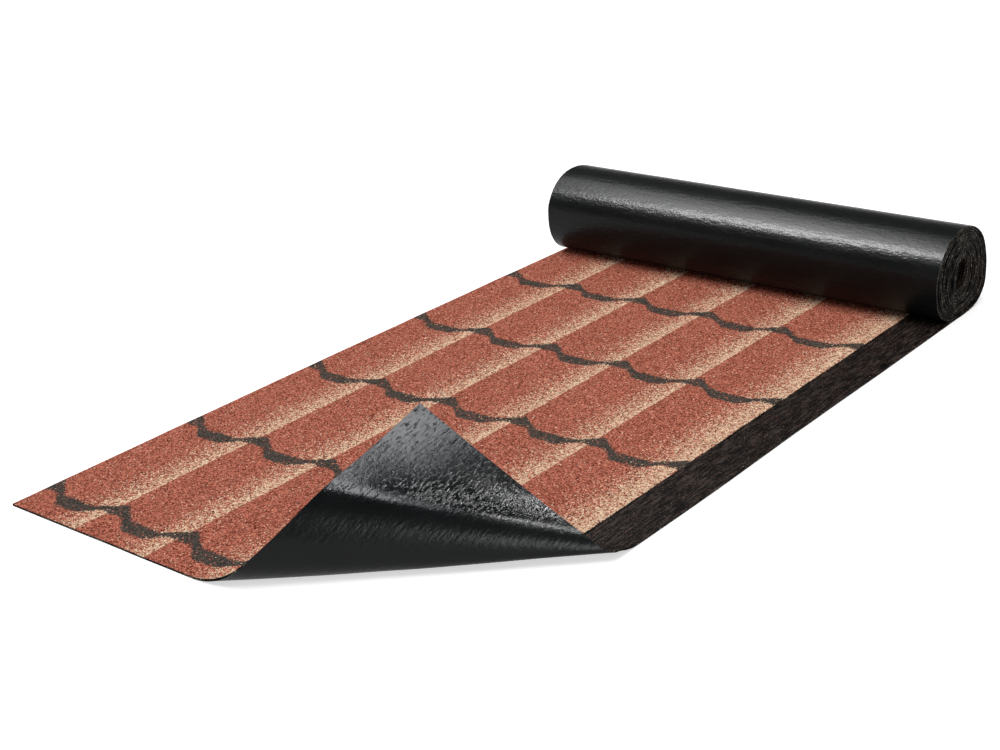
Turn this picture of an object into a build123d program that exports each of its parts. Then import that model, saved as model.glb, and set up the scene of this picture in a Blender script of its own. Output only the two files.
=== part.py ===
from build123d import *
from math import ceil, cos, degrees, floor, hypot, pi, sin
import os

# Roll of roofing felt, partly unrolled, with one front corner turned up and back.
# X runs across the felt, +Y from the front edge to the roll, +Z up. All sizes in millimetres.
# The origin is on the floor, in the middle of the part's outline.

# Felt
WIDTH = 1000.0
FELT = 4.0
LAID = 1700.0  # laid flat, from the front edge to the roll's lowest line

# Roll: its turns lie tight below the bore, and looser above it and at its two sides
TURNS = 16
BORE = 60.0
GAP_TOP = 1.0
GAP_NEAR = 1.85
GAP_FAR = 2.8
BORE_SHIFT = 8.0  # the bore sits this much further back than the roll's lowest line
NEAR_WIDEST = 112.0  # height of the roll's widest point on the side of the laid felt
FAR_WIDEST = 74.0  # the far side sags lower
ROUND = 2.1  # power of the outline above the widest points, where 2 is an ellipse
NEAR_SQUARE = 2.4  # powers below them, where the roll's weight flattens it
FAR_SQUARE = 3.2
CONTACT = 0.04  # share of a turn, before the roll's lowest line, over which it rests on the laid felt

# Ends of the roll, where a groove shows between one turn and the next
EDGE_WEAR = 0.4
GROOVE_DEPTH = 6.0
ARCS_PER_TURN = 8

# Turned-back corner: a cone whose rulings all pass through one apex beyond the right edge
FOLD_FRONT = 468.0  # the fold leaves the front edge this far from the left edge
FOLD_SIDE = 425.0  # and meets the right edge this far from the front edge
CONE_REACH = 140.0  # from that end of the fold on to the apex
BEND = ((0, 0), (50, 80), (95, 112), (165, 153), (400, 136))  # distance, degrees turned up
STATIONS = 36
STEPS = 5  # small turns between two stations
TIP = 6.0  # length of the last ruling, at the corner

# Sizes that follow
BORE_R = BORE / 2
BORE_HEIGHT = TURNS * FELT + BORE_R
ROLL_HEIGHT = BORE_HEIGHT + BORE_R + TURNS * (FELT + GAP_TOP)
NEAR_HALF = BORE_R + TURNS * (FELT + GAP_NEAR) - BORE_SHIFT
FAR_HALF = BORE_SHIFT + BORE_R + TURNS * (FELT + GAP_FAR)
FAR_INSET = (FELT + GAP_FAR) / 4  # the felt runs in by this much over its first quarter turn
LENGTH = LAID + FAR_HALF - FAR_INSET
FRONT_Y = -LENGTH / 2
ROLL_Y = FRONT_Y + LAID
BORE_Y = ROLL_Y + BORE_SHIFT


def outline(angle):
    """Outer outline of the roll: four quarter superellipses that share their tangents."""
    across, up = cos(angle), sin(angle)
    if across >= 0:
        half, widest, square = FAR_HALF, FAR_WIDEST, FAR_SQUARE
    else:
        half, widest, square = NEAR_HALF, NEAR_WIDEST, NEAR_SQUARE
    rise, power = (ROLL_HEIGHT - widest, ROUND) if up >= 0 else (widest, square)
    reach = (abs(across) ** power + abs(up) ** power) ** (-1 / power)
    return ROLL_Y + half * reach * across, widest + rise * reach * up


def bore_circle(angle):
    return BORE_Y + BORE_R * cos(angle), BORE_HEIGHT + BORE_R * sin(angle)


def coil(turn, inward=0.0):
    """Outer face of the felt after a number of turns, counted from the roll's lowest line.

    The felt runs in from the outline to the bore by an equal share each turn, and inward
    moves the point further towards the bore.
    """
    angle = 2 * pi * turn - pi / 2
    (outer_y, outer_z), (inner_y, inner_z) = outline(angle), bore_circle(angle)
    run = hypot(inner_y - outer_y, inner_z - outer_z)
    share = turn / TURNS + inward / run
    return outer_y + (inner_y - outer_y) * share, outer_z + (inner_z - outer_z) * share


def coil_arcs(start, end, inward=0.0):
    """Chain of arcs along the coil, each through three of its points; returns its two ends.

    The arcs meet halfway between the bottom, the corners, the sides and the top, so that
    the bottom one lies flat.
    """
    first, last = ceil(start * ARCS_PER_TURN - 0.5), floor(end * ARCS_PER_TURN - 0.5)
    joints = [start, *((i + 0.5) / ARCS_PER_TURN for i in range(first, last + 1)), end]
    for t0, t1 in zip(joints, joints[1:]):
        ThreePointArc(coil(t0, inward), coil((t0 + t1) / 2, inward), coil(t1, inward))
    return coil(start, inward), coil(end, inward)


def heading(distance):
    """Degrees by which the felt has turned up, a distance past the fold at its middle."""
    for (d0, h0), (d1, h1) in zip(BEND, BEND[1:]):
        if distance <= d1:
            return h0 + (h1 - h0) * (distance - d0) / (d1 - d0)
    return BEND[-1][1]


# The fold, the apex and the corner, on the laid felt
fold_start = Vector(FOLD_FRONT - WIDTH / 2, FRONT_Y)
fold_end = Vector(WIDTH / 2, FRONT_Y + FOLD_SIDE)
fold = fold_end - fold_start
apex = fold_end + fold.normalized() * CONE_REACH
corner = Vector(WIDTH / 2, FRONT_Y)
middle = CONE_REACH + fold.length / 2


def ruling_ends(swing):
    """Distances from the apex at which a flat ruling, swung from the fold, crosses the two edges."""
    direction = fold.rotate(Axis.Z, degrees(swing)).normalized()
    return (apex.X - WIDTH / 2) / direction.X, (apex.Y - FRONT_Y) / direction.Y


def last_swing():
    """Swing of the ruling that is TIP long, just short of the corner, by halving."""
    low, high = 0.0, (apex - corner).get_angle(fold) * pi / 180
    for _ in range(40):
        swing = (low + high) / 2
        right, front = ruling_ends(swing)
        low, high = (swing, high) if front - right > TIP else (low, swing)
    return low


def stations():
    """Frames along the bent felt: X down the ruling, Z out of the granule face.

    Each small step swings the ruling in the felt's own face and bends the felt about it.
    """
    swing = last_swing() / ((STATIONS - 1) * STEPS)
    frame = Plane(apex, x_dir=-fold, z_dir=(0, 0, 1)).location
    yield 0.0, frame
    for i in range((STATIONS - 1) * STEPS):
        turn = heading((i + 1) * swing * middle) - heading(i * swing * middle)
        frame = frame * Rotation(turn, 0, degrees(swing))
        if (i + 1) % STEPS == 0:
            yield (i + 1) * swing, frame


# The gap between one turn and the next, from the contact in to the last turn round the bore
with BuildSketch(Plane.YZ) as gap:
    with BuildLine():
        outer_start, outer_end = coil_arcs(-CONTACT, TURNS - 2, FELT - EDGE_WEAR)
        inner_start, inner_end = coil_arcs(1 - CONTACT, TURNS - 1, EDGE_WEAR)
        Line(outer_start, inner_start)
        Line(outer_end, inner_end)
    make_face()

with BuildPart() as roofing_felt:
    # The laid felt and the roll are one section, with the bore through it
    with BuildSketch(Plane.YZ):
        with BuildLine():
            underside_end, contact = coil_arcs(0, 1 - CONTACT)
            Polyline(contact, (contact[0], FELT), (FRONT_Y, FELT), (FRONT_Y, 0), underside_end)
        make_face()
        with Locations((BORE_Y, BORE_HEIGHT)):
            Circle(BORE_R, mode=Mode.SUBTRACT)
    extrude(amount=WIDTH / 2, both=True)

    # The turns show on both ends, as far in as the groove goes
    for side in (-1, 1):
        end_face = gap.sketch.moved(Location((side * WIDTH / 2, 0, 0)))
        extrude(end_face, amount=-side * GROOVE_DEPTH, mode=Mode.SUBTRACT)

    # Past the fold the corner leaves the floor
    with BuildSketch(Plane.XY):
        with BuildLine():
            Polyline(fold_start, corner, fold_end, close=True)
        make_face()
    extrude(amount=FELT, mode=Mode.SUBTRACT)
    for swing, frame in stations():
        right, front = ruling_ends(swing)
        with BuildSketch(Plane(frame * Rotation(90, 0, 0))):
            with Locations(((right + front) / 2, FELT / 2)):
                Rectangle(front - right, FELT)
    loft()

roofing_felt.part.label = "roofing_felt"
os.makedirs("parts", exist_ok=True)
export_step(roofing_felt.part, "parts/roofing_felt.step")
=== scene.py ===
import bpy
import math
import numpy as np
from mathutils import Matrix, Vector


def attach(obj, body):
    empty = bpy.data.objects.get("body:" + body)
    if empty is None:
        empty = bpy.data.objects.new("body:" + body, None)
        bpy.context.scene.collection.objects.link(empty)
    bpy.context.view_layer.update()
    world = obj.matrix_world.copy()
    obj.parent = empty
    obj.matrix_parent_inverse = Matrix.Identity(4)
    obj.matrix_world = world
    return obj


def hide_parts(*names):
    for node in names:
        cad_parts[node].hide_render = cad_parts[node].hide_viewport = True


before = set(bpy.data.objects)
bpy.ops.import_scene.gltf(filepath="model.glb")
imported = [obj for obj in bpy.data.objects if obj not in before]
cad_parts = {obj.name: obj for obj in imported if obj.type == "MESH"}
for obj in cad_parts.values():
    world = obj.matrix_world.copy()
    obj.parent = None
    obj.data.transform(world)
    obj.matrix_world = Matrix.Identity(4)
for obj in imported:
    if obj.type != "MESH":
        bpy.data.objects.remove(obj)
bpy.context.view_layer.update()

# Roll of roofing felt, in metres. X across, +Y from the front edge to the roll, +Z up.
# These sizes repeat those of the part's solids.
WIDTH = 1.0
FELT = 0.004
LAID = 1.7  # laid flat, from the front edge to the roll's lowest line
TURNS = 16
BORE_R = 0.030
GAP_TOP = 0.001
GAP_NEAR = 0.00185
GAP_FAR = 0.0028
BORE_SHIFT = 0.008
NEAR_WIDEST = 0.112
FAR_WIDEST = 0.074
ROUND = 2.1
NEAR_SQUARE = 2.4
FAR_SQUARE = 3.2
FOLD_FRONT = 0.468
FOLD_SIDE = 0.425
CONE_REACH = 0.140
BEND = ((0, 0), (0.050, 80), (0.095, 112), (0.165, 153), (0.400, 136))  # distance, degrees turned up

ROLL_HEIGHT = 2 * BORE_R + TURNS * (2 * FELT + GAP_TOP)
NEAR_HALF = BORE_R + TURNS * (FELT + GAP_NEAR) - BORE_SHIFT
FAR_HALF = BORE_SHIFT + BORE_R + TURNS * (FELT + GAP_FAR)
FAR_INSET = (FELT + GAP_FAR) / 4  # the felt runs in by this much over its first quarter turn
FRONT_Y = -(LAID + FAR_HALF - FAR_INSET) / 2
ROLL_Y = FRONT_Y + LAID

# The roll close up
BORE_HALF = (0.021, 0.034)  # the bore has sagged to a leaf shape, which still stands on its tight turns
BORE_LEAN = 0.3  # and leans back by this share of its height
STRAY = 0.36  # share of the gap between them by which the inner turns stray
STRAYING = ((0.95, 1.3), (0, 1))  # turns over which that sets in
DENT = 0.00015  # hollows in the outer turn
DENTED = ((0.1, 0.3, 0.85, 0.95), (0, 1, 1, 0))  # turns, share of that depth
OUTER_TURN = 0.75  # length of felt in it, roughly
END_WANDER = 0.0024  # how far the turns stand in and out at the roll's ends

# The laid felt close up
GRANULES_END = 0.908  # from the left edge; the rest is the bare side lap
GRANULES = 0.0008  # thickness of the granule layer
EDGE_LEFT = ((0, -0.004), (0.25, -0.001), (0.9, 0.003), (1.6, 0.003), (2.1, 0))  # along, outward
EDGE_RIGHT = ((0.5, 0), (0.72, 0.003), (1.0, 0.002), (1.4, 0.005), (1.65, 0.005), (2.1, 0.0027))
SWELL = 0.0005  # half the height of its swells
SWELL_ENDS = ((-0.3, -0.12), (1, 0))  # distance from the roll's lowest line, share of that height
LIFT = 0.0135  # how far the felt stands off the floor at the fold's right end
LIFT_CREST = 0.004  # past the fold
LIFT_ACROSS = 0.0246
LIFT_ALONG = 0.225

# The film's creases, past a line that slants across the turned corner
CREASES_START = 0.165  # distance of that line past the fold, at the front edge
CREASES_SLANT = 0.27  # it comes nearer by this share of the way along the felt
CREASES_RISE = ((-0.01, 0.02), (0.3, 0.7))  # distance past the line, amount
BAND = 0.022  # half width of the strongest creases, whose middle is as far past the line
BAND_MORE = 0.3
BAND_ENDS = ((0.06, 0.13), (0.2, 1))  # distance from the front edge, share of what the band adds

# Loose granules
LOOSE = 5200  # on the granule face, before those past the fold are left out
LOOSE_ON_LAP = 260
LOOSE_HALF = (0.0004, 0.0009)  # half their least and greatest size
LOOSE_FLAT = 0.7  # share of their size that is left upwards
LOOSE_RISE = 0.0001  # of their middles above the face
LOOSE_MARGIN = 0.003  # to the felt's edges and the lap
LOOSE_TO_ROLL = 0.12  # to the roll's lowest line
LOOSE_TO_FOLD = 0.03


# Camera
def look(name, place, yaw, pitch, roll, lens):
    """Camera turned by yaw about Z from +Y, down by pitch and rolled about its own axis, in degrees."""
    data = bpy.data.cameras.new(name)
    data.lens, data.sensor_width = lens, 36
    data.clip_start, data.clip_end = 0.05, 50
    yaw, pitch, roll = math.radians(yaw), math.radians(pitch), math.radians(roll)
    ahead = np.array([-math.sin(yaw) * math.cos(pitch), math.cos(yaw) * math.cos(pitch), -math.sin(pitch)])
    level = np.array([math.cos(yaw), math.sin(yaw), 0])
    over = np.cross(level, ahead)
    right = math.cos(roll) * level + math.sin(roll) * over
    up = math.cos(roll) * over - math.sin(roll) * level
    camera = bpy.data.objects.new(name, data)
    turned = Matrix(np.array([right, up, -ahead]).T).to_4x4()
    camera.matrix_world = Matrix.Translation(Vector(place)) @ turned
    bpy.context.scene.collection.objects.link(camera)
    return camera


bpy.context.scene.camera = look(
    "camera", (1.8314, -2.39905, 1.2798), yaw=39.266, pitch=22.364, roll=-2.814, lens=59.47
)


# Shape of the felt
def unevenness(x, along):
    """Smooth hollows and swells between -1 and 1: two products of sines, 15 to 40 cm long."""
    slow = np.sin(23 * x + 9 * along + 1) * np.sin(17 * along - 6 * x + 0.5)
    quick = np.sin(41 * x - 13 * along + 2) * np.sin(31 * along + 8 * x)
    return 0.6 * slow + 0.4 * quick


def ragged(turn, seed):
    """Wander between -1 and 1 along the turns: sines with no common period, the quick ones lower."""
    waves = ((0.37, 0.3), (1.83, 0.25), (3.19, 0.2), (6.71, 0.15), (11.3, 0.1))
    return sum(share * np.sin(2 * np.pi * turn * pace + seed * (1 + pace)) for pace, share in waves)


def outline(angle):
    """Quarter superellipses |y / half|^n + |z / rise|^n = 1, about the widest height on either side."""
    across, up = np.cos(angle), np.sin(angle)
    far = across >= 0
    half = np.where(far, FAR_HALF, NEAR_HALF)
    widest = np.where(far, FAR_WIDEST, NEAR_WIDEST)
    power = np.where(up >= 0, ROUND, np.where(far, FAR_SQUARE, NEAR_SQUARE))
    rise = np.where(up >= 0, ROLL_HEIGHT - widest, widest)
    reach = (np.abs(across) ** power + np.abs(up) ** power) ** (-1 / power)
    return np.stack([ROLL_Y + half * reach * across, widest + rise * reach * up], -1)


def coil(turn):
    """Spiral of the felt's outer face: the outline mixed with the bore's oval, by the share of turns."""
    angle = 2 * np.pi * turn - np.pi / 2
    bore_y = ROLL_Y + BORE_SHIFT + BORE_HALF[0] * np.cos(angle) + BORE_LEAN * BORE_HALF[1] * np.sin(angle)
    bore_z = TURNS * FELT + BORE_HALF[1] * (1 + np.sin(angle))
    share = (turn / TURNS)[..., None]
    return outline(angle) * (1 - share) + np.stack([bore_y, bore_z], -1) * share


RULING_STEP = math.radians(0.1)  # swing from one ruling to the next
RULINGS_MADE = 440  # enough to reach past the corner


def turned_corner():
    """Apex, fold and the rulings of the turned-back corner, each with the felt's normal.

    The corner is a cone: each small step swings the ruling in the felt's face, and bends the
    felt about the ruling by the change of its heading.
    """
    start = np.array([FOLD_FRONT - WIDTH / 2, FRONT_Y, 0])
    end = np.array([WIDTH / 2, FRONT_Y + FOLD_SIDE, 0])
    length = np.linalg.norm(end - start)
    fold = (end - start) / length
    distance = np.arange(RULINGS_MADE) * RULING_STEP * (CONE_REACH + length / 2)
    heading = np.radians(np.interp(distance, *np.transpose(BEND)))
    ruling, normal = -fold, np.array([0, 0, 1.0])
    rulings, normals = [ruling], [normal]
    for bend in np.diff(heading):
        travel = np.cross(normal, ruling)
        travel, normal = (
            math.cos(bend) * travel + math.sin(bend) * normal,
            math.cos(bend) * normal - math.sin(bend) * travel,
        )
        ruling = math.cos(RULING_STEP) * ruling + math.sin(RULING_STEP) * travel
        rulings.append(ruling)
        normals.append(normal)
    return end + fold * CONE_REACH, fold, np.array(rulings), np.array(normals)


APEX, FOLD, RULINGS, NORMALS = turned_corner()


def past_fold(x, y):
    """Distance of a flat point past the fold, towards the corner."""
    return (x - WIDTH / 2) * FOLD[1] - (y - FRONT_Y - FOLD_SIDE) * FOLD[0]


def laid(x, y):
    """Underside point and normal of a flat point: as it lies, or carried up by its ruling.

    The felt swells a little off the floor. Beside the fold's right end it lifts more, by one
    Gaussian across the fold times another along it.
    """
    flat = np.stack([x, y, np.zeros_like(x)], -1)
    away = flat - APEX
    reach = np.linalg.norm(away, axis=-1)
    angle = np.arctan2(away @ np.array([FOLD[1], -FOLD[0], 0]), -(away @ FOLD))
    step = np.clip(angle / RULING_STEP, 0, len(RULINGS) - 1.001)  # always between two rulings
    low = step.astype(int)
    part = (step - low)[..., None]
    ruling = RULINGS[low] * (1 - part) + RULINGS[low + 1] * part
    normal = NORMALS[low] * (1 - part) + NORMALS[low + 1] * part
    bent = APEX + reach[..., None] * ruling / np.linalg.norm(ruling, axis=-1, keepdims=True)
    turned = (angle > 0)[..., None]
    place = np.where(turned, bent, flat)
    normal = np.where(turned, normal, (0, 0, 1.0))
    swell = SWELL * (1 + unevenness(x, y - FRONT_Y)) * np.interp(y - ROLL_Y, *SWELL_ENDS)
    place = place + normal * swell[..., None]
    across = (past_fold(x, y) - LIFT_CREST) / LIFT_ACROSS
    along = (WIDTH / 2 - x) / LIFT_ALONG
    place[..., 2] += LIFT * np.exp(-(across ** 2) - along ** 2)
    return place, normal


def rolled(turn, x):
    """Outer face of the roll and the normal into it, for rows of turns and columns across.

    The inner turns stray to either side within the gap between them, and the outer one
    has shallow hollows.
    """
    small = 1e-4
    section = coil(turn)
    along = coil(turn + small) - coil(turn - small)
    along /= np.linalg.norm(along, axis=-1, keepdims=True)
    inward = np.stack([-along[:, 1], along[:, 0]], -1)
    gap = np.maximum(((coil(turn + 1) - section) * inward).sum(-1) - FELT, 0)
    stray = STRAY * gap * ragged(turn, seed=2.6) * np.interp(turn, *STRAYING)
    dent = DENT * np.interp(turn, *DENTED)
    hollows = unevenness(x[None], LAID + OUTER_TURN * turn[:, None])
    depth = stray[:, None] + dent[:, None] * hollows
    place = np.empty((len(turn), len(x), 3))
    place[..., 0] = x
    place[..., 1:] = section[:, None] + inward[:, None] * depth[..., None]
    normal = np.zeros_like(place)
    normal[..., 1:] = inward[:, None]
    return place, normal


def wander(x, along, turn):
    """Sideways shift of a point: each edge's own, by the square of the distance from the middle."""
    left = np.interp(along, *np.transpose(EDGE_LEFT)) + END_WANDER * ragged(turn, seed=1.1) * (turn > 0)
    right = np.interp(along, *np.transpose(EDGE_RIGHT)) + END_WANDER * ragged(turn, seed=4.7) * (turn > 0)
    return np.clip(2 * x, 0, 1) ** 2 * right - np.clip(-2 * x, 0, 1) ** 2 * left


def creasing(across, along):
    """How creased the film is: a rise past the slanting line, and a Gaussian band on top of it."""
    past = past_fold(across - WIDTH / 2, along + FRONT_Y) - CREASES_START + CREASES_SLANT * along
    band = np.exp(-(((past - BAND) / BAND) ** 2)) * np.interp(along, *BAND_ENDS)
    return np.interp(past, *CREASES_RISE) + BAND_MORE * band


# Grid of the felt: columns across it, close together where the corner is turned, and rows along it
CLOSE_COLUMNS = 0.42
CLOSE_ROWS = 0.45
LAP_STEP = 0.001
COLUMNS = np.concatenate([
    np.linspace(0, CLOSE_COLUMNS, 31)[:-1],
    np.linspace(CLOSE_COLUMNS, GRANULES_END, 71),
    np.linspace(GRANULES_END + LAP_STEP, WIDTH, 20),
])
FLAT_ROWS = np.concatenate([
    np.linspace(0, CLOSE_ROWS, 76)[:-1],
    np.linspace(CLOSE_ROWS, LAID, 81)[:-1],
])
ROWS_PER_TURN = 48
FINE_TURNS = 1.25  # the part of the roll that can be seen has all the columns
SKIP = 10  # the turns inside it have every tenth column
SHARP = math.radians(50)  # edges with a wider turn than this aren't shaded smooth


def felt_sheet():
    """One closed sheet: rows along the felt from the front edge to the bore, columns across it.

    The underside is laid flat, turned back at the corner or rolled up, and the granule face
    lies one thickness of felt along its normal, or less on the side lap.
    """
    x, y = np.meshgrid(COLUMNS - WIDTH / 2, FLAT_ROWS + FRONT_Y)
    place, normal = laid(x, y)
    turn = np.arange(TURNS * ROWS_PER_TURN + 1) / ROWS_PER_TURN
    coil_place, coil_normal = rolled(turn, COLUMNS - WIDTH / 2)
    run = np.linalg.norm(np.diff(coil(turn), axis=0), axis=-1)
    along = np.concatenate([FLAT_ROWS, LAID + np.concatenate([[0], np.cumsum(run)])])
    turns = np.concatenate([np.zeros(len(FLAT_ROWS)), turn])
    under = np.concatenate([place, coil_place])
    normal = np.concatenate([normal, coil_normal])
    under[..., 0] += wander((COLUMNS - WIDTH / 2)[None], along[:, None], turns[:, None])
    depth = np.where(COLUMNS > GRANULES_END, FELT - GRANULES, FELT)
    upper = under + normal * depth[:, None]
    uv = np.stack(np.meshgrid(COLUMNS, along), -1)
    fine = len(FLAT_ROWS) + int(FINE_TURNS * ROWS_PER_TURN)
    return closed_sheet("felt_sheet", under, upper, uv, creasing(uv[..., 0], uv[..., 1]), fine)


def closed_sheet(name, under, upper, uv, creased, fine):
    """Mesh of two grids joined round their rim; past the first fine rows only some columns go on.

    Where the columns thin out, a fan of triangles joins each wide column to the fine ones
    beside it. The faces have three slots: upper side, underside and rim. The points carry two
    attributes: depth is 0 on the underside and 1 on the upper side, creased is as given.
    """
    rows, columns = under.shape[:2]
    near = np.arange(fine * columns).reshape(fine, columns)
    kept = columns // SKIP + 1
    far = near.size + np.arange((rows - fine) * kept).reshape(rows - fine, kept)
    count = near.size + far.size
    ends = near[-1][np.arange(kept - 1)[:, None] * SKIP + np.arange(SKIP + 1)]
    ends = np.concatenate([ends, far[0, 1:, None]], 1)
    hub = np.repeat(far[0, :-1, None], SKIP + 1, axis=1)
    joint = np.stack([hub, ends[:, :-1], ends[:, 1:]], -1).reshape(-1, 3)
    quads = np.concatenate([
        np.stack([g[:-1, :-1], g[:-1, 1:], g[1:, 1:], g[1:, :-1]], -1).reshape(-1, 4) for g in (near, far)
    ])
    ring = np.concatenate([
        near[0, :-1], near[:, -1], far[:-1, -1], far[-1, :0:-1], far[::-1, 0], near[:0:-1, 0],
    ])
    after = np.roll(ring, -1)
    rim = np.stack([ring, after, after + count, ring + count], -1)
    faces = [quads + count, joint + count, quads[:, ::-1], joint[:, ::-1], rim]
    slots = [0, 0, 1, 1, 2]

    def thinned(grid):
        """Values of a grid in the order of the points, without the columns that stop."""
        parts = grid[:fine], grid[fine:, ::SKIP]
        return np.concatenate([part.reshape(-1, *grid.shape[2:]) for part in parts])

    points = np.concatenate([thinned(under), thinned(upper)])
    mesh = bpy.data.meshes.new(name)
    mesh.from_pydata(points.tolist(), [], [face for group in faces for face in group.tolist()])
    mesh.polygons.foreach_set("material_index", np.repeat(slots, [len(group) for group in faces]))
    corners = np.concatenate([group.ravel() for group in faces])
    mesh.uv_layers.new(name="felt").data.foreach_set("uv", thinned(uv)[corners % count].ravel())
    depth = np.repeat([0.0, 1.0], count)
    for key, values in (("depth", depth), ("creased", np.tile(thinned(creased), 2))):
        mesh.attributes.new(key, "FLOAT", "POINT").data.foreach_set("value", values)
    mesh.set_sharp_from_angle(angle=SHARP)
    return linked(name, mesh)


def linked(name, mesh):
    piece = bpy.data.objects.new(name, mesh)
    bpy.context.scene.collection.objects.link(piece)
    return piece


def loose_granules():
    """Granules that stand proud of the face, and stray ones on the side lap.

    Each is an octahedron, turned at random and squashed; its UV is one point of the tile
    pattern, so that it has one colour.
    """
    draw = np.random.default_rng(5)
    total = LOOSE + LOOSE_ON_LAP
    stray = np.arange(total) >= LOOSE
    on_lap = draw.uniform(GRANULES_END + LOOSE_MARGIN, WIDTH - LOOSE_MARGIN, total)
    on_face = draw.uniform(LOOSE_MARGIN, GRANULES_END - 2 * LOOSE_MARGIN, total)
    x = np.where(stray, on_lap, on_face)
    along = draw.uniform(LOOSE_MARGIN, LAID - LOOSE_TO_ROLL, total)
    kept = past_fold(x - WIDTH / 2, along + FRONT_Y) < -LOOSE_TO_FOLD
    x, along, stray = x[kept], along[kept], stray[kept]
    place, normal = laid(x - WIDTH / 2, along + FRONT_Y)
    place[:, 0] += wander(x - WIDTH / 2, along, np.zeros_like(along))
    place += normal * np.where(stray, FELT - GRANULES, FELT)[:, None]
    turn, _ = np.linalg.qr(draw.normal(size=(len(x), 3, 3)))
    turn *= np.sign(np.linalg.det(turn))[:, None, None]
    shape = np.array([(1, 0, 0), (0, 1, 0), (-1, 0, 0), (0, -1, 0), (0, 0, 1), (0, 0, -1)])
    size = draw.uniform(*LOOSE_HALF, (len(x), 1, 3))
    points = (shape * size) @ turn
    points[..., 2] *= LOOSE_FLAT
    points += place[:, None] + (0, 0, LOOSE_RISE)
    sides = np.array([
        (0, 1, 4), (1, 2, 4), (2, 3, 4), (3, 0, 4), (1, 0, 5), (2, 1, 5), (3, 2, 5), (0, 3, 5),
    ])
    faces = (np.arange(len(x))[:, None, None] * len(shape) + sides).reshape(-1, 3)
    mesh = bpy.data.meshes.new("loose_granules")
    mesh.from_pydata(points.reshape(-1, 3).tolist(), [], faces.tolist())
    # A stray granule takes its colour from the face, half a metre to its left
    uv = np.stack([np.where(stray, x - 0.5, x), along], -1)
    mesh.uv_layers.new(name="felt").data.foreach_set("uv", np.repeat(uv, sides.size, axis=0).ravel())
    return linked("loose_granules", mesh)


# Shader maths
class Wire:
    """A node's output that Python expressions can use: each operator adds a Math node."""

    def __init__(self, tree, socket):
        self.tree, self.socket = tree, socket

    def math(self, operation, *others):
        return node(self.tree, "ShaderNodeMath", {"operation": operation}, dict(enumerate((self, *others))))

    def __add__(self, other):
        return self.math("ADD", other)

    def __sub__(self, other):
        return self.math("SUBTRACT", other)

    def __rsub__(self, other):
        return self * -1 + other

    def __mul__(self, other):
        return self.math("MULTIPLY", other)

    def __pow__(self, other):
        return self.math("POWER", other)

    def __gt__(self, other):
        return self.math("GREATER_THAN", other)

    def __lt__(self, other):
        return self.math("LESS_THAN", other)

    def __mod__(self, other):
        return self.math("FLOORED_MODULO", other)

    def __abs__(self):
        return self.math("ABSOLUTE")

    def least(self, other):
        return self.math("MINIMUM", other)

    def most(self, other):
        return self.math("MAXIMUM", other)

    __radd__, __rmul__ = __add__, __mul__


def node(tree, kind, settings=None, sockets=None, out=0):
    """Add a node: its settings first, then the value or the link of each socket."""
    made = tree.nodes.new(kind)
    for key, value in (settings or {}).items():
        setattr(made, key, value)
    for key, value in (sockets or {}).items():
        if isinstance(value, Wire):
            tree.links.new(value.socket, made.inputs[key])
        else:
            made.inputs[key].default_value = value
    return Wire(tree, made.outputs[out])


class Finish:
    """A material with a Principled shader, whose sockets take plain numbers or wires."""

    def __init__(self, name, **fixed):
        self.material = bpy.data.materials.new(name)
        self.material.use_nodes = True
        self.tree = self.material.node_tree
        self.shader = self.tree.nodes["Principled BSDF"]
        for key, value in fixed.items():
            self.shader.inputs[key.replace("_", " ")].default_value = value

    def node(self, kind, settings=None, sockets=None, out=0):
        return node(self.tree, kind, settings, sockets, out)

    def felt_uv(self):
        return self.node("ShaderNodeUVMap", {"uv_map": "felt"})

    def attribute(self, name):
        return self.node("ShaderNodeAttribute", {"attribute_name": name}, None, "Fac")

    def millimetres(self, uv):
        return [self.node("ShaderNodeSeparateXYZ", None, {"Vector": uv}, axis) * 1000 for axis in "XY"]

    def scaled(self, vector, scale, turn=0.0):
        sockets = {"Vector": vector, "Scale": scale, "Rotation": (0, 0, turn)}
        return self.node("ShaderNodeMapping", None, sockets)

    def noise(self, vector, scale, detail=2.0, roughness=0.5):
        """Soft noise about 0.5, with scale lumps to the metre."""
        sockets = {"Vector": vector, "Scale": scale, "Detail": detail, "Roughness": roughness}
        return self.node("ShaderNodeTexNoise", None, sockets)

    def grains(self, vector, scale):
        """Distance from the middle of each Voronoi cell, and three random numbers of the cell."""
        sockets = {"Vector": vector, "Scale": scale}
        colour = {"Color": self.node("ShaderNodeTexVoronoi", None, sockets, "Color")}
        away = self.node("ShaderNodeTexVoronoi", None, sockets, "Distance")
        channels = ("Red", "Green", "Blue")
        return away, *[self.node("ShaderNodeSeparateColor", None, colour, channel) for channel in channels]

    def smooth(self, value, low, high):
        """Smooth step from 0 at low to 1 at high."""
        sockets = {"Value": value, "From Min": low, "From Max": high}
        return self.node("ShaderNodeMapRange", {"interpolation_type": "SMOOTHSTEP"}, sockets)

    def mix(self, share, first, second):
        """Colour between two, which are a Mix node's sockets 6 and 7; its socket 2 comes out."""
        return self.node("ShaderNodeMix", {"data_type": "RGBA"}, {0: share, 6: first, 7: second}, 2)

    def feed(self, socket, wire):
        self.tree.links.new(wire.socket, self.shader.inputs[socket])

    def bump(self, height, strength, distance):
        sockets = {"Height": height, "Strength": strength, "Distance": distance}
        self.feed("Normal", self.node("ShaderNodeBump", None, sockets))


def srgb(*channels):
    """Linear colour of eight-bit display values."""
    return (*[((c / 255 + 0.055) / 1.055) ** 2.4 if c > 10 else c / 255 / 12.92 for c in channels], 1)


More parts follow.
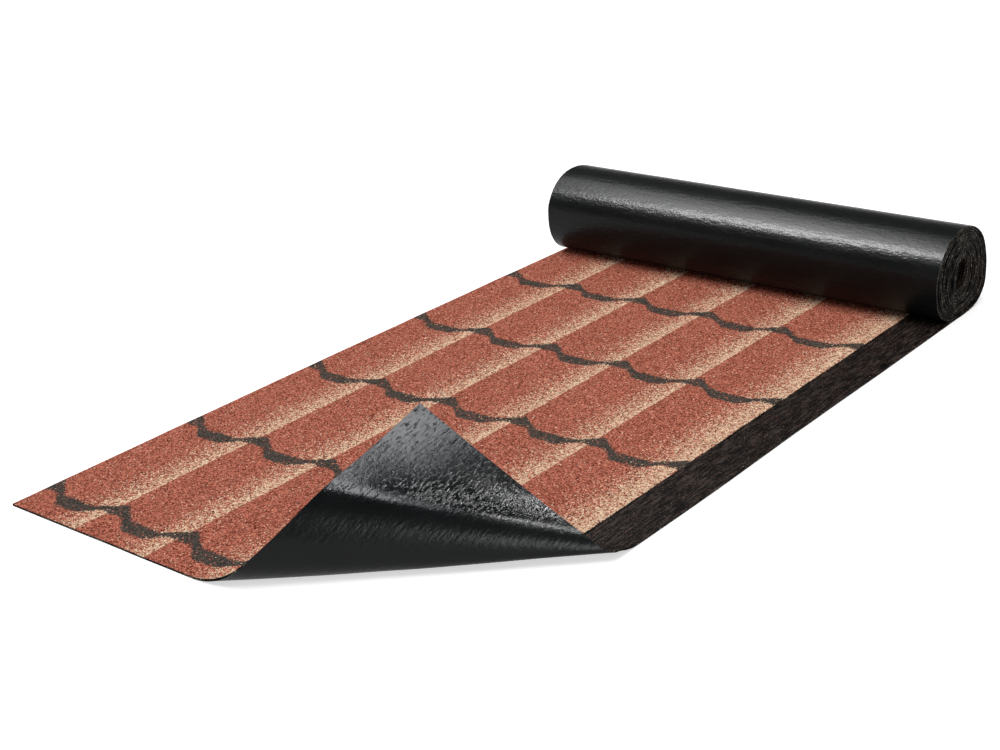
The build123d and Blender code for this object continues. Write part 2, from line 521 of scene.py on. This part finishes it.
# Printed tiles, in millimetres from the left and the front edge
TILE = 179.7  # width
JOINT = 174.0  # the first joint
ROW = 337.0  # length
ROW_START = 83.0
CREAM = 95.0  # width of the cream at each joint
CREAM_STAYS = 885.0  # from here to the lap it no longer changes
SHADOW = 184.0  # the first point of the dark shadow
POINT_HALF = 52.0
POINT_RISE = 39.0
SCORE = 979.0  # middle of the score in the side lap


def granule_face():
    """Mineral granules in a printed tile pattern, and the bare side lap beside them.

    Each granule is a Voronoi cell of one colour. Its random numbers are set against the share
    of cream or of dark granules that the pattern has there, so the colours fade grain by grain.
    """
    f = Finish("granules", Specular_IOR_Level=0.03)
    uv = f.felt_uv()
    x, y = f.millimetres(uv)
    away, pick, tone, other = f.grains(uv, 470.0)
    clump = f.noise(uv, 190.0, 3.0, 0.7)
    patch = f.noise(uv, 24.0, 3.0, 0.55)

    # Cream fades in towards each joint from the left and stops at it
    left = (JOINT - x.least(CREAM_STAYS) + (clump - 0.5) * 9) % TILE
    fade = (1 - (left + (patch - 0.5) * 24) * (1 / CREAM)).most(0.0) ** 1.9
    cream_share = fade * (0.36 + f.smooth(f.noise(uv, 125.0, 2.0, 0.6), 0.4, 0.56) * 0.6)
    # The dark shadow hangs between its points and rises to each one
    beside = abs((x - (SHADOW - TILE / 2)) % TILE - TILE / 2)
    height = (y - (ROW_START - ROW / 2)) % ROW - ROW / 2
    stray = (clump - 0.5) * 16 + (patch - 0.5) * 12
    top = -9 + POINT_RISE * (1 - beside * (1 / POINT_HALF)).most(0.0) ** 1.1
    foot = -11 - 32 * f.smooth(beside, 22.0, 68.0)
    dark_share = f.smooth(top - height + stray, -4.0, 4.0) * f.smooth(height - foot + stray, -4.0, 4.0)

    red = f.mix(f.smooth(tone * 0.5 + clump * 0.5, 0.28, 0.76), srgb(104, 42, 30), srgb(216, 130, 106))
    cream = f.mix(tone, srgb(198, 150, 114), srgb(255, 232, 202))
    dark = f.mix(tone, srgb(26, 26, 24), srgb(98, 88, 80))
    colour = f.mix(pick < cream_share + 0.02, red, cream)
    colour = f.mix(other < dark_share * 0.94 + 0.01, colour, dark)

    # The lap: dark bitumen, drawn out lengthwise, with a score near its outer edge
    bare = x + (clump - 0.5) * 5 > GRANULES_END * 1000
    streak = f.noise(f.scaled(uv, (230.0, 20.0, 1.0)), 1.0, 4.0, 0.7)
    speck = (tone > 0.93) * (clump > 0.53)
    score = 1 - f.smooth(abs(x + (patch - 0.5) * 3 - SCORE), 0.5, 2.2)
    lap = f.mix(f.smooth(streak * 0.85 + tone * 0.15, 0.45, 0.64), srgb(7, 5, 5), srgb(70, 59, 54))
    lap = f.mix(speck * 0.7, lap, srgb(104, 80, 68))
    lap = f.mix(score * 0.7, lap, srgb(12, 10, 10))
    f.feed("Base Color", f.mix(bare, colour, lap))
    f.feed("Roughness", 0.9 - bare * (0.5 - streak * 0.3))
    f.bump((1 - away) * (1 - bare) + bare * (streak * 0.8 - score), 0.5, 0.0006)
    return f.material


def film_face():
    """Glossy black film on the felt's outer face.

    It has soft folds and dimples all over. Where it is creased it is smooth and glossy between
    sharp ridges, which run mostly across the felt and crowd together in patches.
    """
    f = Finish("film", Specular_IOR_Level=0.16)
    uv = f.felt_uv()
    creased = f.attribute("creased")
    crease = f.noise(f.scaled(uv, (75.0, 230.0, 1.0), -0.1), 1.0, 2.0, 0.5)
    fold = f.noise(f.scaled(uv, (34.0, 100.0, 1.0), -0.05), 1.0, 2.0, 0.5)
    dimple = f.noise(f.scaled(uv, (110.0, 170.0, 1.0)), 1.0, 2.0, 0.6)
    fine = f.noise(uv, 480.0, 2.0, 0.6)
    patch = f.noise(uv, 11.0, 3.0, 0.5)
    crushed = creased ** 4 * (0.4 + f.smooth(patch, 0.36, 0.58) * 0.6)
    ridge = (crease - 0.72 + creased * 0.2 + crushed * 0.09).most(0.0)
    soft = (fold + dimple * 0.7) * (1.2 - creased * 1.35).most(0.1)
    f.feed("Base Color", f.mix(patch, srgb(9, 11, 11), srgb(16, 18, 19)))
    f.feed("Roughness", (0.36 + patch * 0.08 + fine * 0.06 - creased * 0.43).most(0.1))
    f.bump(ridge * (1.2 + crushed * 1.2) + soft + fine * 0.09, 0.6, 0.0014)
    return f.material


# Span of the roll's outer turn, whose cut edge gets more granule colour and a brighter painted highlight
OUTER_TURN_FROM = LAID * 1000  # millimetres along the felt
OUTER_TURN_SPAN = 740


def cut_edge():
    """Cut through the felt: glossy bitumen with scuffs and painted glints, and the granules on top.

    On the roll's outer turn the granules show in full; a pale painted highlight runs along the film side of
    the cut, brightest on the outer turn.
    """
    f = Finish("cut_edge", Specular_IOR_Level=0.01)
    place = f.node("ShaderNodeTexCoord", None, None, "Object")
    depth = f.attribute("depth")
    _, y = f.millimetres(f.felt_uv())
    fibre = f.noise(place, 520.0, 3.0, 0.65)
    lump = f.noise(place, 130.0, 2.0, 0.6)
    patch = f.noise(place, 34.0, 2.0, 0.6)
    layer = f.smooth(depth + (fibre - 0.5) * 0.5, 0.74, 0.86) * f.smooth(lump, 0.4, 0.6)
    scuffed = f.smooth(patch * 0.5 + lump * 0.5, 0.42, 0.6)
    bitumen = f.mix(scuffed, srgb(6, 6, 5), srgb(42, 38, 34))
    # Painted glints: pale specks in the colour stand for sparkles of light on the glossy bitumen
    painted_glints = f.smooth(f.noise(place, 260.0, 2.0, 0.6), 0.56, 0.66) * f.smooth(patch, 0.42, 0.55)
    outer = (y > OUTER_TURN_FROM) * (y < OUTER_TURN_FROM + OUTER_TURN_SPAN)
    # Painted highlight: a pale line along the film side of the cut, where its rounded rim would catch the
    # light
    painted_rim_highlight = (1 - f.smooth(depth + (lump - 0.5) * 0.4, 0.05, 0.22)) * f.smooth(patch, 0.35, 0.55)
    edge = f.mix(layer * (0.35 + outer * 0.65), bitumen, srgb(84, 66, 56))
    edge = f.mix(painted_rim_highlight * (0.15 + outer * 0.75), edge, srgb(116, 114, 110))
    f.feed("Base Color", f.mix(painted_glints * 0.8, edge, srgb(172, 164, 150)))
    f.feed("Roughness", 0.15 + lump * 0.5)
    f.bump(fibre * 0.6 + lump, 0.7, 0.0012)
    return f.material


felt = felt_sheet()
granules = granule_face()
for finish in (granules, film_face(), cut_edge()):
    felt.data.materials.append(finish)
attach(felt, "root")
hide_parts("roofing_felt")

grit = loose_granules()
grit.data.materials.append(granules)
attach(grit, "root")

# Floor, backdrop and lamps
FLOOR_HALF = 30.0
FLOOR_Z = -0.0004
FLOOR_SEEN = 0.6  # light that it gives off to the camera, beside what the lamps make it reflect
FLOOR_MIRRORED = 0.45  # and in reflections
SKY = 0.35  # the backdrop's light on the object
SKY_EDGE = 0.12  # in reflections it darkens up to this height, on a sphere of radius 1
CEILING = 0.1


def studio():
    """White floor and backdrop for the camera and in reflections, over a plain diffuse floor.

    In reflections the white backdrop ends a little above the horizon, under a dim ceiling.
    """
    mesh = bpy.data.meshes.new("floor")
    around = ((-1, -1), (1, -1), (1, 1), (-1, 1))
    mesh.from_pydata([(x * FLOOR_HALF, y * FLOOR_HALF, FLOOR_Z) for x, y in around], [], [range(4)])
    floor = linked("floor", mesh)
    f = Finish(
        "floor", Roughness=1.0, Base_Color=(0.8, 0.8, 0.8, 1), Emission_Strength=1.0, Specular_IOR_Level=0.0
    )
    floor.data.materials.append(f.material)
    world = bpy.data.worlds.new("studio")
    world.use_nodes = True
    bpy.context.scene.world = world
    backdrop = world.node_tree
    direction = node(backdrop, "ShaderNodeTexCoord", None, None, "Generated")
    height = node(backdrop, "ShaderNodeSeparateXYZ", None, {"Vector": direction}, "Z")
    ends = {"Value": height, "From Min": 0.0, "From Max": SKY_EDGE, "To Min": 1.0, "To Max": CEILING}
    rise = node(backdrop, "ShaderNodeMapRange", {"interpolation_type": "SMOOTHSTEP"}, ends)
    for tree, socket, plain, seen, mirrored in (
        (f.tree, f.shader.inputs["Emission Color"], 0.0, FLOOR_SEEN, FLOOR_MIRRORED),
        (backdrop, backdrop.nodes["Background"].inputs["Color"], SKY, 1.0, rise),
    ):
        camera, glossy, through = [
            Wire(tree, tree.nodes.new("ShaderNodeLightPath").outputs[ray])
            for ray in ("Is Camera Ray", "Is Glossy Ray", "Is Transmission Ray")
        ]
        bounced = (glossy + through).least(1.0)
        level = camera * seen + bounced * mirrored + (1 - (camera + bounced).least(1.0)) * plain
        grey = node(tree, "ShaderNodeCombineColor", None, {"Red": level, "Green": level, "Blue": level})
        tree.links.new(grey.socket, socket)


def sun(name, towards, strength, softness):
    """Even light over the whole floor, from a disc of the given angle; it makes no gleam."""
    data = bpy.data.lights.new(name, "SUN")
    data.energy, data.angle = strength, math.radians(softness)
    lamp = bpy.data.objects.new(name, data)
    lamp.rotation_euler = Vector(towards).to_track_quat("-Z", "Y").to_euler()
    lamp.visible_glossy = False
    bpy.context.scene.collection.objects.link(lamp)


def softbox(name, place, size, strength, turn=0.0, lean=0.0, tint=(1, 1, 1)):
    """Rectangular lamp that only gleams in gloss. Its strength is its power per area, over pi.

    It faces the floor, or leans up towards +Y, and then turns about Z.
    """
    data = bpy.data.lights.new(name, "AREA")
    data.shape, data.size, data.size_y = "RECTANGLE", *size
    data.energy = strength * size[0] * size[1] * math.pi
    data.color = tint
    lamp = bpy.data.objects.new(name, data)
    lamp.location = place
    lamp.rotation_euler = (math.radians(lean), 0, math.radians(turn))
    lamp.visible_diffuse = False
    bpy.context.scene.collection.objects.link(lamp)


studio()
sun("key", (0.1, 0.4, -1), strength=1.95, softness=50)
softbox("roll_gleam", (-1.1, -0.5, 2.4), (1.5, 0.3), 120.0)
softbox("roll_sheen", (-1.1, 0.1, 2.41), (1.6, 1.5), 13.0)
softbox("roll_glow", (-1.3, 1.3, 2.4), (1.8, 1.0), 5.0)
softbox("flap_gleam", (0.54, -0.35, 2.4), (0.76, 0.26), 22.0, turn=-36, tint=(0.95, 0.965, 1.0))
softbox("flap_creases", (1.1, 0.16, 2.4), (0.34, 0.3), 80.0)
softbox("side_gleam", (4.25, -1.84, 1.2), (2.6, 2.1), 11.0, turn=72, lean=75)
bpy.context.scene.view_settings.view_transform = "Standard"
